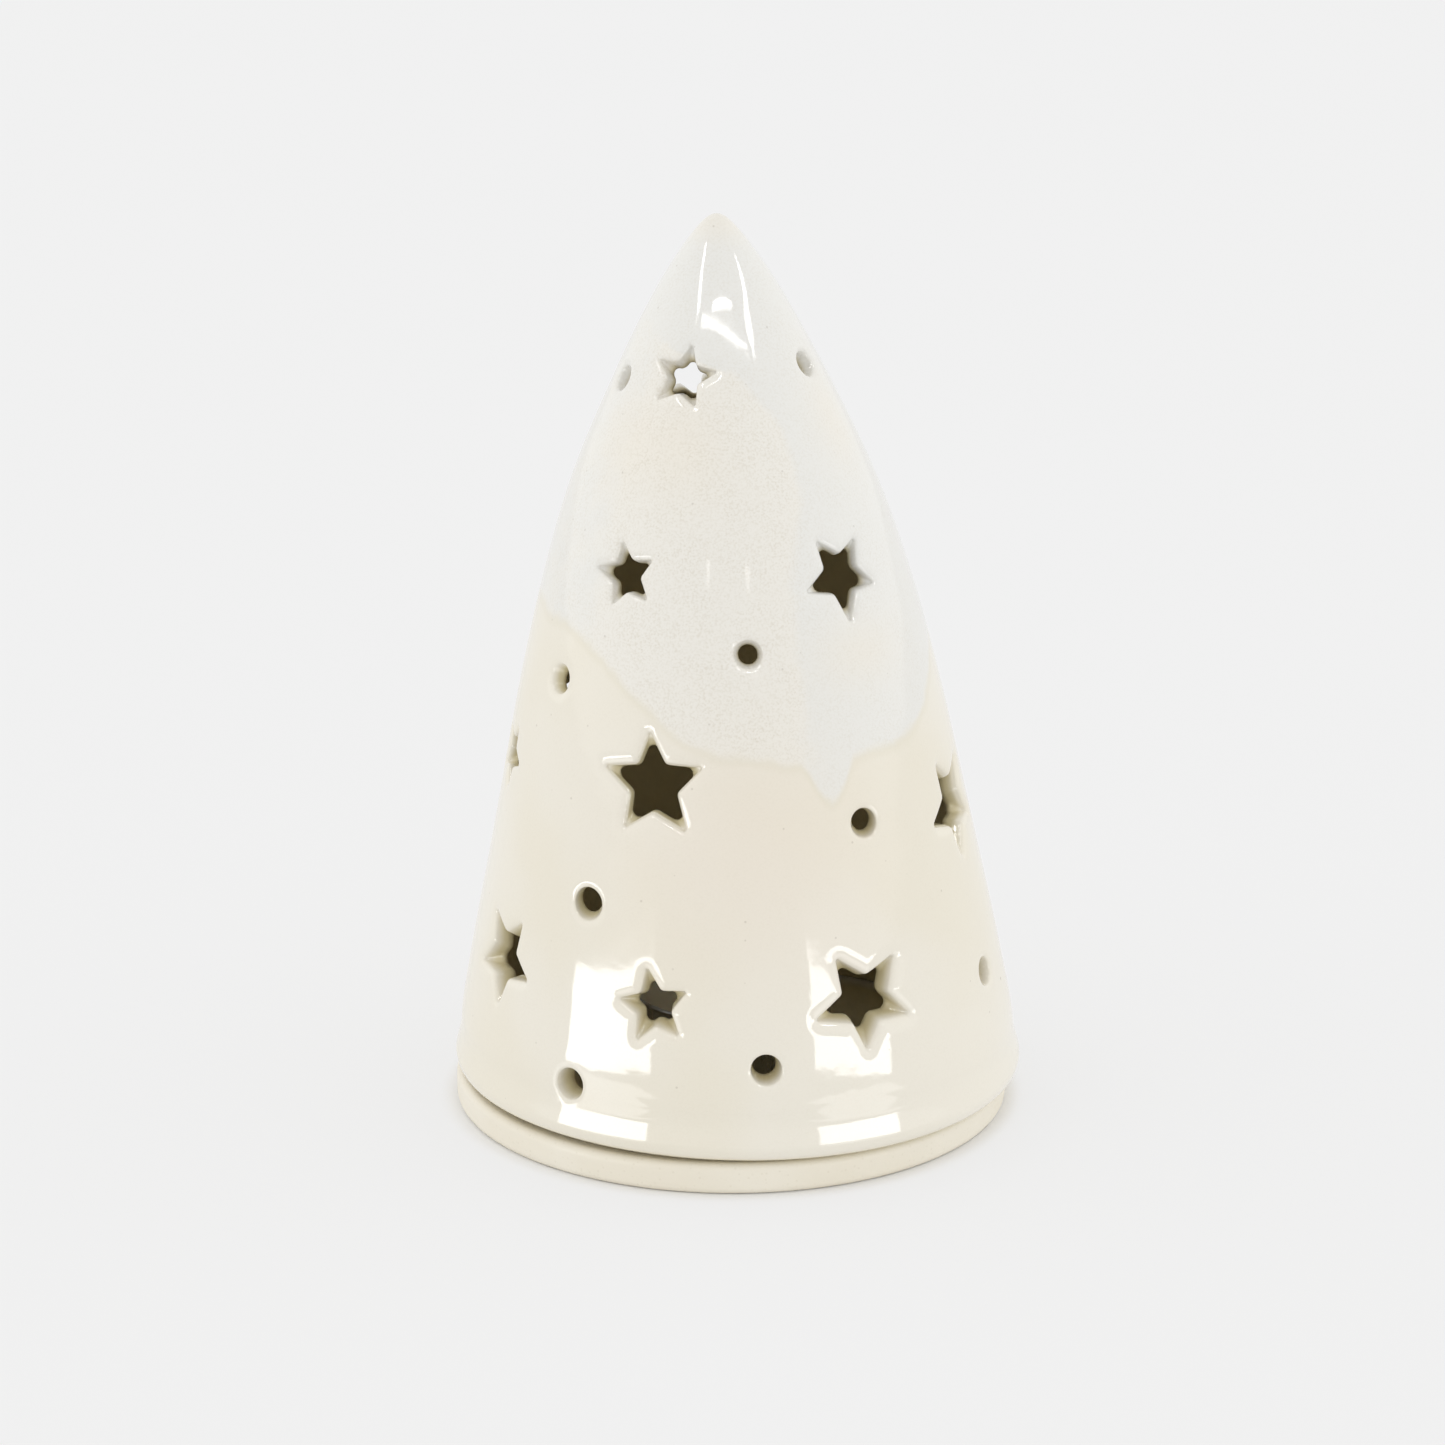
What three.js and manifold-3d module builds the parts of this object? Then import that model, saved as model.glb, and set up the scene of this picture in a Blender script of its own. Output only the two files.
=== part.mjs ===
// Tealight holder: a pierced, glazed stoneware cover, shaped like a slender fir tree, that stands loose over
// a tealight on a flat stoneware saucer.
// Millimetres, +Z up. The origin is the middle of the saucer's underside, and the front faces -Y.
import * as THREE from "three";
import { mergeVertices } from "three/addons/utils/BufferGeometryUtils.js";
import Module from "manifold-3d";

// ---- driving dimensions ----

const GAP = 0.3; // clearance between two pieces that rest on, or sit in, each other
const ROUND_SIDES = 48; // facets round the ceramic pieces
const CUP_SIDES = 36; // facets round the tealight's cup and wax
const SMALL_SIDES = 24; // facets round the wick's sustainer
const HOLE_SIDES = 8; // facets round a drilled hole

const SAUCER_RADIUS = 52.5;
const SAUCER_HEIGHT = 6;
const SAUCER_EDGE = 1.2; // rounding of its rim, above and below

const COVER_OFFSET = 0.95; // the cover stands this far off the saucer's middle, towards +X
const COVER_LEAN = Math.tan(THREE.MathUtils.degToRad(1.29)); // sideways, towards -X, for each mm of height
const FOOT_TILT = 0.006; // the foot is warped: it stands clear of the saucer on the -X side
const FOOT_HEIGHT = SAUCER_HEIGHT + GAP + 0.34; // of the middle of the foot, so its low side clears the saucer
const OUTER_ROWS = 12; // rows of facets up each wall
const INNER_ROWS = 8;

const STAR_POINTS = 5;
const STAR_NOTCH = 0.48; // radius of a star's notches, as a share of its tips' radius
const STAR_ROUNDING = 0.22; // share of each side that is taken up by a rounded corner
const STAR_CLEAR = 0.92; // the cut is a little smaller than the grooves at its tips
const STAR_TAPER = 0.062; // a star narrows by this share for each mm of depth
const HOLE_RADIUS = 2.6; // drilled holes, at the outer surface
const HOLE_TAPER = 0.05;
const CUT_BEYOND = 2; // a cutter starts this far outside the wall
const CUT_DEPTH = 7.5; // and ends this far inside the outer surface

const CUP_HEIGHT = 15;
const CUP_WALL = 0.5;
const CUP_BASE_RADIUS = 18.6;
const CUP_RIM_RADIUS = 19.7;
const CUP_LIP = 0.7; // the rolled rim stands out this far
const WAX_BELOW_RIM = 2;
const WAX_DISH = 0.5; // the top of the wax has sunk by this much inside its edge
const SUSTAINER_RADIUS = 6.5;
const SUSTAINER_PLATE = 0.5;
const COLLAR_RADIUS = 1.8;
const COLLAR_HEIGHT = 3;
const WICK_RADIUS = 0.8;
const WICK_LENGTH = 21;

// The cover's outer wall, inner wall and foot: [radius, height], the walls from the foot to the top.
const OUTER_WALL = [
  [52.6, 7.2], [53.7, 8.9], [52.9, 12.6], [52.0, 20], [50.0, 30], [47.0, 45], [44.1, 60], [40.0, 80],
  [34.9, 100], [28.4, 120], [19.6, 140], [11.6, 155], [6.4, 163], [2.6, 167.6], [0, 169.2],
];
const INNER_WALL = [
  [48.4, 7.2], [47.3, 13], [44.7, 30], [41.9, 50], [40.0, 60], [36.3, 80], [31.1, 100], [24.3, 120],
  [14.9, 140], [6.2, 154.4], [2.6, 159], [0, 160],
];
const FOOT_RING = [
  [49.2, FOOT_HEIGHT], [51.4, FOOT_HEIGHT],
];

// Stars: [degrees round from the front towards +X, height, tip radius, degrees of turn].
const STARS = [
  [-21.8, 143.3, 6.2, 11],
  [-33.7, 108.9, 5.8, 34],
  [41.5, 108.6, 8.2, 50],
  [-19.8, 73.2, 9.8, 23],
  [-78.4, 69.4, 6.2, 67],
  [71.6, 62.3, 9.8, 46],
  [-61.5, 35, 9.4, 58],
  [-17.3, 33.8, 7, 29],
  [29.4, 33.8, 9.8, 48],
  // round the back
  [-161.5, 135, 7.8, 30],
  [114, 110, 5.8, 12],
  [177, 110, 7, 40],
  [-113, 107, 8.2, 64],
  [116, 77, 6.2, 55],
  [150, 67, 9.8, 8],
  [-166, 75, 7, 36],
  [-124, 70, 9.8, 61],
  [105, 34, 7, 20],
  [131, 33, 9.4, 50],
  [172, 36, 9.8, 15],
  [-140, 44, 7, 44],
  [-109, 36, 9.4, 5],
];

// Drilled holes: [degrees round, height].
const HOLES = [
  [-70, 140.7],
  [62, 143.5],
  [6.5, 96.7],
  [-54.4, 88],
  [34.2, 65.3],
  [-34.5, 50.2],
  [68.3, 30.9],
  [-35.4, 17.3],
  [6.5, 23.6],
  // round the back
  [118, 138],
  [-110, 141],
  [146, 117],
  [-146, 114],
  [101, 92],
  [170, 92],
  [-101, 88],
  [128.5, 52.6],
  [178, 56],
  [-147, 60.5],
  [-102, 55],
  [98, 15],
  [152, 18],
  [-170, 16],
  [-106, 17],
];

// ---- materials ----

function material(color, roughness, metalness = 0) {
  return new THREE.MeshStandardMaterial({ color, roughness, metalness });
}

const glaze = material("#e8e3d8", 0.12);
const clay = material("#e2dccd", 0.75);
const aluminium = material("#c9cacc", 0.35, 1);
const wax = material("#f3f0e6", 0.45);
const steel = material("#b5b3ae", 0.4, 1);
const cotton = material("#efeadd", 0.9);

// ---- solids ----

const wasm = await Module();
wasm.setup();

// Shared vertices are merged, and triangles that have shrunk to a line are dropped.
function closedMesh(geometry) {
  const bare = geometry.clone();
  bare.deleteAttribute("normal");
  bare.deleteAttribute("uv");
  const merged = mergeVertices(bare, 1e-5);
  const index = merged.index.array;
  const kept = [];
  for (let i = 0; i < index.length; i += 3) {
    const [a, b, c] = index.subarray(i, i + 3);
    if (a !== b && b !== c && c !== a) kept.push(a, b, c);
  }
  merged.setIndex(kept);
  return merged;
}

function toSolid(geometry) {
  const merged = closedMesh(geometry);
  const vertProperties = new Float32Array(merged.attributes.position.array);
  const triVerts = new Uint32Array(merged.index.array);
  return new wasm.Manifold(new wasm.Mesh({ numProp: 3, vertProperties, triVerts }));
}

function toGeometry(solid) {
  const mesh = solid.getMesh();
  const geometry = new THREE.BufferGeometry();
  geometry.setAttribute("position", new THREE.BufferAttribute(mesh.vertProperties, 3));
  geometry.setIndex(new THREE.BufferAttribute(mesh.triVerts, 1));
  geometry.computeVertexNormals();
  return geometry;
}

// A profile of [radius, height] points turned round +Z.
function turned(profile, sides) {
  const points = profile.map(([radius, height]) => new THREE.Vector2(radius, height));
  return closedMesh(new THREE.LatheGeometry(points, sides).rotateX(Math.PI / 2));
}

function piece(name, geometry, finish) {
  const mesh = new THREE.Mesh(geometry, finish);
  mesh.name = name;
  return mesh;
}

// ---- saucer ----

function makeSaucer() {
  const inner = SAUCER_RADIUS - SAUCER_EDGE;
  const steps = 3;
  const corner = (height, from) =>
    Array.from({ length: steps + 1 }, (_, i) => {
      const angle = from + (i / steps) * (Math.PI / 2);
      return [inner + SAUCER_EDGE * Math.cos(angle), height + SAUCER_EDGE * Math.sin(angle)];
    });
  const profile = [
    [0, 0],
    ...corner(SAUCER_EDGE, -Math.PI / 2),
    ...corner(SAUCER_HEIGHT - SAUCER_EDGE, 0),
    [0, SAUCER_HEIGHT],
  ];
  return piece("saucer", turned(profile, ROUND_SIDES), clay);
}

// ---- cover ----

const outerCurve = new THREE.SplineCurve(OUTER_WALL.map(([r, z]) => new THREE.Vector2(r, z)));

// The outer wall's radius and slope (radius lost for each mm of height) at a height.
function outerWallAt(height) {
  let low = 0;
  let high = 1;
  while (high - low > 1e-6) {
    const middle = (low + high) / 2;
    if (outerCurve.getPoint(middle).y < height) low = middle;
    else high = middle;
  }
  const tangent = outerCurve.getTangent(low);
  return { radius: outerCurve.getPoint(low).x, slope: -tangent.x / tangent.y };
}

// Moves a cutter made round the origin, pointing along +Z, to its place on the wall, square to it.
function ontoWall(geometry, degrees, height, turn) {
  const round = THREE.MathUtils.degToRad(degrees);
  const { radius, slope } = outerWallAt(height);
  const across = new THREE.Vector3(Math.cos(round), Math.sin(round), 0);
  const outwards = new THREE.Vector3(Math.sin(round), -Math.cos(round), slope).normalize();
  const upwards = outwards.clone().cross(across);
  const place = new THREE.Matrix4().makeBasis(across, upwards, outwards);
  place.setPosition(radius * Math.sin(round), -radius * Math.cos(round), height);
  return geometry.rotateZ(THREE.MathUtils.degToRad(turn)).applyMatrix4(place);
}

// A prism through the wall that narrows inwards by a share of its size for each mm.
function cutter(shape, curveSegments, taper) {
  const depth = CUT_BEYOND + CUT_DEPTH;
  const geometry = new THREE.ExtrudeGeometry(shape, { depth, curveSegments, bevelEnabled: false });
  geometry.translate(0, 0, -CUT_DEPTH);
  const position = geometry.attributes.position;
  for (let i = 0; i < position.count; i++) {
    const scale = 1 + taper * position.getZ(i);
    position.setXY(i, position.getX(i) * scale, position.getY(i) * scale);
  }
  return geometry;
}

function starShape(tipRadius) {
  const count = 2 * STAR_POINTS;
  const corners = Array.from({ length: count }, (_, i) => {
    const radius = i % 2 === 0 ? tipRadius : tipRadius * STAR_NOTCH;
    const angle = (i / count) * 2 * Math.PI;
    return new THREE.Vector2(radius * Math.cos(angle), radius * Math.sin(angle));
  });
  const shape = new THREE.Shape();
  corners.forEach((corner, i) => {
    const start = corner.clone().lerp(corners[(i + count - 1) % count], STAR_ROUNDING);
    const end = corner.clone().lerp(corners[(i + 1) % count], STAR_ROUNDING);
    if (i === 0) shape.moveTo(start.x, start.y);
    else shape.lineTo(start.x, start.y);
    shape.quadraticCurveTo(corner.x, corner.y, end.x, end.y);
  });
  return shape;
}

// Rows of a wall's profile, evenly spread along its curve.
function wallRows(points, count) {
  const curve = new THREE.SplineCurve(points.map(([r, z]) => new THREE.Vector2(r, z)));
  return curve.getPoints(count).map((point) => [point.x, point.y]);
}

function makeCover() {
  const outer = wallRows(OUTER_WALL, OUTER_ROWS);
  const inner = wallRows([...INNER_WALL].reverse(), INNER_ROWS);
  let cover = toSolid(turned([...outer, ...inner, ...FOOT_RING, OUTER_WALL[0]], ROUND_SIDES));
  for (const [degrees, height, tipRadius, turn] of STARS) {
    const star = cutter(starShape(tipRadius * STAR_CLEAR), 1, STAR_TAPER);
    cover = cover.subtract(toSolid(ontoWall(star, degrees, height, turn)));
  }
  const drill = new THREE.Shape().absarc(0, 0, HOLE_RADIUS, 0, 2 * Math.PI);
  for (const [degrees, height] of HOLES) {
    const hole = cutter(drill, HOLE_SIDES / 2, HOLE_TAPER);
    cover = cover.subtract(toSolid(ontoWall(hole, degrees, height, 0)));
  }
  // The hand-built cover leans, and its foot is warped: both are small, and a shear gives them.
  const lean = new THREE.Matrix4().makeTranslation(0, 0, -FOOT_HEIGHT);
  lean.premultiply(new THREE.Matrix4().makeShear(0, -FOOT_TILT, 0, 0, -COVER_LEAN, 0));
  lean.premultiply(new THREE.Matrix4().makeTranslation(0, 0, FOOT_HEIGHT));
  const mesh = piece("cover", toGeometry(cover).applyMatrix4(lean), glaze);
  mesh.position.x = COVER_OFFSET;
  return mesh;
}

// ---- tealight ----

// The heights in this section are above the underside of the tealight's cup.

function makeCandleCup() {
  const rim = CUP_RIM_RADIUS;
  const wall = rim - CUP_LIP - CUP_WALL;
  return turned(
    [
      [0, 0],
      [CUP_BASE_RADIUS - 1, 0],
      [CUP_BASE_RADIUS - 0.3, 0.3],
      [CUP_BASE_RADIUS, 1],
      [rim - CUP_LIP, CUP_HEIGHT - 1],
      [rim, CUP_HEIGHT - 0.8],
      [rim, CUP_HEIGHT - 0.2],
      [rim - 0.4, CUP_HEIGHT],
      [wall + 0.2, CUP_HEIGHT - 0.2],
      [wall, CUP_HEIGHT - 0.8],
      [CUP_BASE_RADIUS - CUP_WALL, 1.2],
      [CUP_BASE_RADIUS - CUP_WALL - 0.8, CUP_WALL],
      [0, CUP_WALL],
    ],
    CUP_SIDES,
  );
}

// The wax has a bore for the wick, and is moulded over the sustainer at its bottom.
function makeWax() {
  const low = CUP_WALL + GAP;
  const top = CUP_HEIGHT - WAX_BELOW_RIM;
  const radius = CUP_BASE_RADIUS - CUP_WALL - GAP;
  const bore = WICK_RADIUS + GAP;
  const plate = SUSTAINER_RADIUS + GAP;
  const plateTop = low + SUSTAINER_PLATE + GAP;
  const collar = COLLAR_RADIUS + GAP;
  const collarTop = low + SUSTAINER_PLATE + COLLAR_HEIGHT + GAP;
  return turned(
    [
      [plate, low],
      [radius - 1, low],
      [radius - 0.3, low + 1],
      [radius + 0.3, top],
      [radius - 0.5, top - WAX_DISH],
      [bore + 1, top - WAX_DISH],
      [bore, top - WAX_DISH + 0.2],
      [bore, collarTop],
      [collar, collarTop],
      [collar, plateTop],
      [plate, plateTop],
      [plate, low],
    ],
    CUP_SIDES,
  );
}

function makeSustainer() {
  const low = CUP_WALL + GAP;
  const plateTop = low + SUSTAINER_PLATE;
  const bore = WICK_RADIUS + GAP;
  return turned(
    [
      [bore, low],
      [SUSTAINER_RADIUS, low],
      [SUSTAINER_RADIUS, plateTop],
      [COLLAR_RADIUS + 0.4, plateTop],
      [COLLAR_RADIUS, plateTop + 0.4],
      [COLLAR_RADIUS, plateTop + COLLAR_HEIGHT],
      [bore, plateTop + COLLAR_HEIGHT],
      [bore, low],
    ],
    SMALL_SIDES,
  );
}

// The wick stands straight in the wax, and bends a little above it.
function makeWick() {
  const low = CUP_WALL + GAP;
  const bend = CUP_HEIGHT - WAX_BELOW_RIM;
  const path = new THREE.CatmullRomCurve3([
    new THREE.Vector3(0, 0, low),
    new THREE.Vector3(0, 0, bend / 2),
    new THREE.Vector3(0, 0, bend),
    new THREE.Vector3(0.5, -0.2, (bend + low + WICK_LENGTH) / 2),
    new THREE.Vector3(1.8, -0.6, low + WICK_LENGTH),
  ]);
  const section = new THREE.Shape().absarc(0, 0, WICK_RADIUS, 0, 2 * Math.PI);
  return closedMesh(new THREE.ExtrudeGeometry(section, { extrudePath: path, steps: 12, curveSegments: 4 }));
}

const tealight = new THREE.Group();
tealight.add(
  piece("candle_cup", makeCandleCup(), aluminium),
  piece("candle_wax", makeWax(), wax),
  piece("wick_sustainer", makeSustainer(), steel),
  piece("wick", makeWick(), cotton),
);
tealight.position.z = SAUCER_HEIGHT + GAP;

const holder = new THREE.Group();
holder.add(makeSaucer(), makeCover(), tealight);

export default holder;
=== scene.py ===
"""Tealight holder: a glazed, pierced stoneware cover over a tealight on a bare stoneware saucer.

Lengths in the modelling code are millimetres in the CAD frame, and MM turns them into metres.
Angles round the cover are measured from the front (-Y) towards +X.
"""

import math

import bpy
import numpy as np
from mathutils import Matrix, Vector
from mathutils.geometry import delaunay_2d_cdt


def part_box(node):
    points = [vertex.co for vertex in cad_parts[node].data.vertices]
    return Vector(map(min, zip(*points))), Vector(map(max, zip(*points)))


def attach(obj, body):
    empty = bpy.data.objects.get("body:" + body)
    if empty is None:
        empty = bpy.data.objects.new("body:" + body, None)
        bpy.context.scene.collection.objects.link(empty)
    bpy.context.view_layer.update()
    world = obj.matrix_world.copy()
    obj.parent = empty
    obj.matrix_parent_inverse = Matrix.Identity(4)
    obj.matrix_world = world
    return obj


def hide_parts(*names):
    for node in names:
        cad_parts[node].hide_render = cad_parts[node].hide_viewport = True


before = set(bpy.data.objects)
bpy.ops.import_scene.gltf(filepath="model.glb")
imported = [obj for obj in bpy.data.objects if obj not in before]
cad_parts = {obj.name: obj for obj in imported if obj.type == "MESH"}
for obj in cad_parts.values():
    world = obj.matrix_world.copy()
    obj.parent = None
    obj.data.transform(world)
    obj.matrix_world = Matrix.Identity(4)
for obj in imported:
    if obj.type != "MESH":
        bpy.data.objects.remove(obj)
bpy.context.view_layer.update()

MM = 0.001
SAUCER_LOW, SAUCER_HIGH = (np.array(corner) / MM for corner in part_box("saucer"))
CUP_LOW, CUP_HIGH = (np.array(corner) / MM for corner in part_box("candle_cup"))

# ---------------------------------------------------------------- cover: shape

COVER_OFFSET = 0.95  # the cover stands this far off the saucer's middle, towards +X
COVER_LEAN = math.tan(math.radians(1.29))  # sideways, towards -X, for each mm of height
FOOT_TILT = 0.006  # the foot is warped: it stands clear of the saucer on the -X side
FOOT_HEIGHT = SAUCER_HIGH[2] + 0.64

# [radius, height] up the outer wall and up the inner wall
OUTER_WALL = [
    (53.75, 9.9), (52.75, 13.7), (52.45, 16.9), (52.0, 20), (51.05, 25), (50.08, 30), (49.08, 35),
    (48.04, 40), (46.98, 45), (43.85, 60), (39.7, 80), (34.75, 100), (28.35, 120), (19.4, 140),
    (11.6, 155), (6.5, 163), (3.2, 167.2), (1.3, 168.85), (0, 169.2),
]
INNER_WALL = [
    (48.2, 8.0), (47.4, 13), (46.3, 20), (44.7, 30), (41.9, 50), (40.0, 60), (36.3, 80), (31.1, 100),
    (24.3, 120), (14.9, 140), (6.2, 154.4), (2.6, 159), (0, 160),
]
# the rounded foot, from the outer wall under to the inner wall
FOOT = [
    (53.8, 9.1), (53.6, 8.2), (53.1, 7.4), (52.3, 6.85), (51.3, 6.66), (50.2, 6.64), (49.2, 6.68),
    (48.6, 7.0), (48.3, 7.5),
]
COLUMNS = 192  # steps round the cover
ROW_STEP = 1.5  # spacing of rows up the walls
INNER_ROW_STEP = 2.4
TIP_ZONE, TIP_STEP = 14, 0.7  # rows are closer near the top
PATCH_MARGIN = 0.5  # grid points stay this far from the edge of an opening

# Stars: degrees round, height, radii of the five tips, degrees of turn of the first tip, and for some how far
# across and up the inner end is off square
STARS = [
    (-21.8, 143.1, (6.2, 6.2, 6.5, 5.8, 6.0), 11),
    (-33.7, 108.9, (6.0, 6.5, 6.0, 6.9, 6.1), 34, (-0.1, 0)),
    (41.5, 108.6, (7.3, 7.8, 8.7, 8.7, 7.8), 50, (1.5, 0)),
    (-19.8, 73.2, (10.0, 10.4, 9.6, 9.8, 9.6), 23),
    (-78.4, 69.6, (6.2, 6.2, 6.0, 6.4, 6.0), 67),
    (71.6, 62.3, (9.8, 10.2, 9.6, 10.0, 9.6), 46),
    (-61.5, 35, (9.2, 9.4, 8.8, 9.8, 9.2), 58),
    (-17.3, 33.8, (7.1, 6.9, 7.1, 6.6, 7.3), 29, (0, 0.8)),
    (29.4, 33.8, (10.0, 9.6, 8.6, 10.4, 10.0), 48, (0.3, 0.6)),
    # round the back
    (-161.5, 136.8, (7.6, 7.4, 7.6, 7.4, 7.6), 30),
    (114, 110, (5.8, 5.6, 6.0, 5.8, 6.0), 12),
    (177, 110, (7.0, 6.8, 7.2, 7.0, 7.0), 40),
    (-113, 107, (8.0, 8.2, 8.4, 7.8, 8.2), 64),
    (116, 77, (6.2, 6.0, 6.2, 6.4, 6.0), 55),
    (150, 67, (9.8, 9.6, 10.0, 9.6, 9.8), 8),
    (-166, 75, (7.0, 7.2, 6.8, 7.0, 7.0), 36),
    (-124, 70, (9.8, 10.0, 9.6, 9.8, 9.6), 61),
    (105, 34, (7.0, 7.0, 6.8, 7.2, 7.0), 20),
    (131, 33, (9.4, 9.2, 9.6, 9.4, 9.2), 50),
    (172, 36, (9.8, 9.6, 9.8, 10.0, 9.6), 15),
    (-140, 44, (7.0, 6.8, 7.0, 7.2, 7.0), 44),
    (-109, 36, (9.4, 9.6, 9.2, 9.4, 9.4), 5),
]
# Drilled holes: degrees round, height, radius, and for some how far across and up the inner end is off square
HOLES = [
    (-69, 140.5, 2.3), (63.5, 143.6, 2.3), (6.5, 96.7, 2.45, (0.3, 0)), (-54.4, 88, 2.6, (0.9, 0)),
    (34.2, 65.3, 2.65, (1.8, 0.3)), (-34.5, 50.2, 3.0, (-1.4, 0.8)), (68.3, 30.9, 2.6),
    (-35.4, 17.3, 2.9, (0, 0.8)), (6.5, 23.6, 2.8, (0, 0.8)),
    # round the back
    (118, 138, 2.3), (-110, 141, 2.3), (146, 117, 2.4), (-146, 114, 2.4), (101, 92, 2.4),
    (170, 92, 2.4), (-101, 88, 2.4), (128.5, 52.6, 2.4), (178, 56, 2.4), (-147, 60.5, 2.4),
    (-102, 55, 2.4), (98, 15, 2.4), (152, 18, 2.4), (-170, 16, 2.4), (-106, 17, 2.4),
]
NOTCH_SHARE = 0.48  # radius of a star's notches, as a share of its tips' radius
SQUARE = (0, 0)
HOLE_NARROWING = 0.7  # how much smaller a drilled hole's radius is on the inside


def step(value, low, high):
    """0 below low, 1 above high, and smooth between them."""
    t = np.clip((value - low) / (high - low), 0, 1)
    return t * t * (3 - 2 * t)


def spline(points, samples=3000, fine_steps=4000):
    """A smooth curve through the points up to the axis, sampled evenly, and the length up to each sample."""
    knots = np.array(points, float)
    mirrored = knots[-2] * (-1, 1)
    padded = np.vstack([2 * knots[0] - knots[1], knots, mirrored])
    gaps = np.linalg.norm(np.diff(padded, axis=0), axis=1)
    at = np.concatenate([[0], np.cumsum(gaps)])
    slopes = (padded[2:] - padded[:-2]) / (at[2:] - at[:-2])[:, None]
    at = at[1:-1]
    fine = np.linspace(at[0], at[-1], fine_steps)
    k = np.clip(np.searchsorted(at, fine, side="right") - 1, 0, len(at) - 2)
    width = (at[k + 1] - at[k])[:, None]
    t = ((fine - at[k])[:, None]) / width
    curve = (
        (2 * t**3 - 3 * t**2 + 1) * knots[k]
        + (t**3 - 2 * t**2 + t) * width * slopes[k]
        + (-2 * t**3 + 3 * t**2) * knots[k + 1]
        + (t**3 - t**2) * width * slopes[k + 1]
    )
    length = np.concatenate([[0], np.cumsum(np.linalg.norm(np.diff(curve, axis=0), axis=1))])
    even = np.linspace(0, length[-1], samples)
    return np.column_stack([np.interp(even, length, curve[:, axis]) for axis in (0, 1)]), even


OUTER_CURVE, OUTER_LENGTH = spline(OUTER_WALL)
INNER_CURVE, INNER_LENGTH = spline(INNER_WALL)


def degrees_from(round_, degrees):
    """Degrees past a place round the cover, from -180 to 180."""
    return np.degrees(np.angle(np.exp(1j * (round_ - math.radians(degrees)))))


def dip_edge(round_):
    """Height of the lower edge of the second glaze, which the cover was dipped into at a slant."""
    away = np.abs(degrees_from(round_, 26))
    edge = 76.4 + 0.075 * away + 15 * step(away, 23, 76)
    edge += 0.3 * np.sin(5 * round_ + 1.0) + 0.2 * np.sin(11 * round_)
    drip = 6.2 * np.cos(np.clip(degrees_from(round_, 26.2) / 7.0, -1, 1) * math.pi / 2) ** 1.1
    return edge - drip


def hand_made(round_, height, radius):
    """Slow unevenness of the hand-built wall, and the second glaze's thickness."""
    wave = 0.16 * np.sin(2 * round_ + 0.7 + height / 90) + 0.1 * np.sin(3 * round_ - 1.1 - height / 70)
    wave += 0.04 * np.sin(5 * round_ + height / 40) + 0.015 * np.sin(height / 8.0 + 2 * np.sin(round_))
    wave += 0.6 * np.sin(round_) * np.sin(math.pi * np.clip((height + 25) / 175, 0, 1))
    glaze = 0.07 / (1 + np.exp(-(height - dip_edge(round_)) / 0.7))
    return (wave + glaze) * np.clip(radius / 20, 0, 1)


def foot_gap(round_):
    """How far the warped foot stands clear of the saucer: most at the front left, and nothing at the back."""
    return 0.03 + 1.0 * np.exp(-((degrees_from(round_, -51.6) / 62) ** 2))


def placed(radius, round_, height):
    """Upright cylinder coordinates to the leaning cover's points."""
    x = radius * np.sin(round_) - COVER_LEAN * (height - FOOT_HEIGHT)
    z = height - FOOT_TILT * radius * np.sin(round_)
    foot = SAUCER_HIGH[2] + foot_gap(round_) - (FOOT_HEIGHT - FOOT_TILT * radius * np.sin(round_))
    z = z + foot * (1 - step(height, FOOT_HEIGHT + 1, FOOT_HEIGHT + 8))
    return np.stack([x + COVER_OFFSET, -radius * np.cos(round_), z], axis=-1)


def outer_cylinder(round_, up):
    """Radius and height of the outer wall at a distance up it from the foot."""
    height = np.interp(up, OUTER_LENGTH, OUTER_CURVE[:, 1])
    radius = np.interp(up, OUTER_LENGTH, OUTER_CURVE[:, 0])
    return radius + hand_made(round_, height, radius), height


def outer_point(round_, up):
    radius, height = outer_cylinder(round_, up)
    return placed(radius, round_, height)


def outer_normal(round_, up):
    aside, ahead = 2e-3, 0.05
    across = outer_point(round_ + aside, up) - outer_point(round_ - aside, up)
    along = outer_point(round_, np.minimum(up + ahead, OUTER_LENGTH[-1])) - outer_point(round_, up - ahead)
    normal = np.cross(across, along)
    return normal / np.linalg.norm(normal, axis=-1, keepdims=True)


def inner_radius(height):
    return np.interp(height, INNER_CURVE[:, 1], INNER_CURVE[:, 0])


def inner_up(height):
    """Distance up the inner wall from the foot, at a height."""
    return np.interp(height, INNER_CURVE[:, 1], INNER_LENGTH)


# ---------------------------------------------------------------- cover: outlines of the openings


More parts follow.
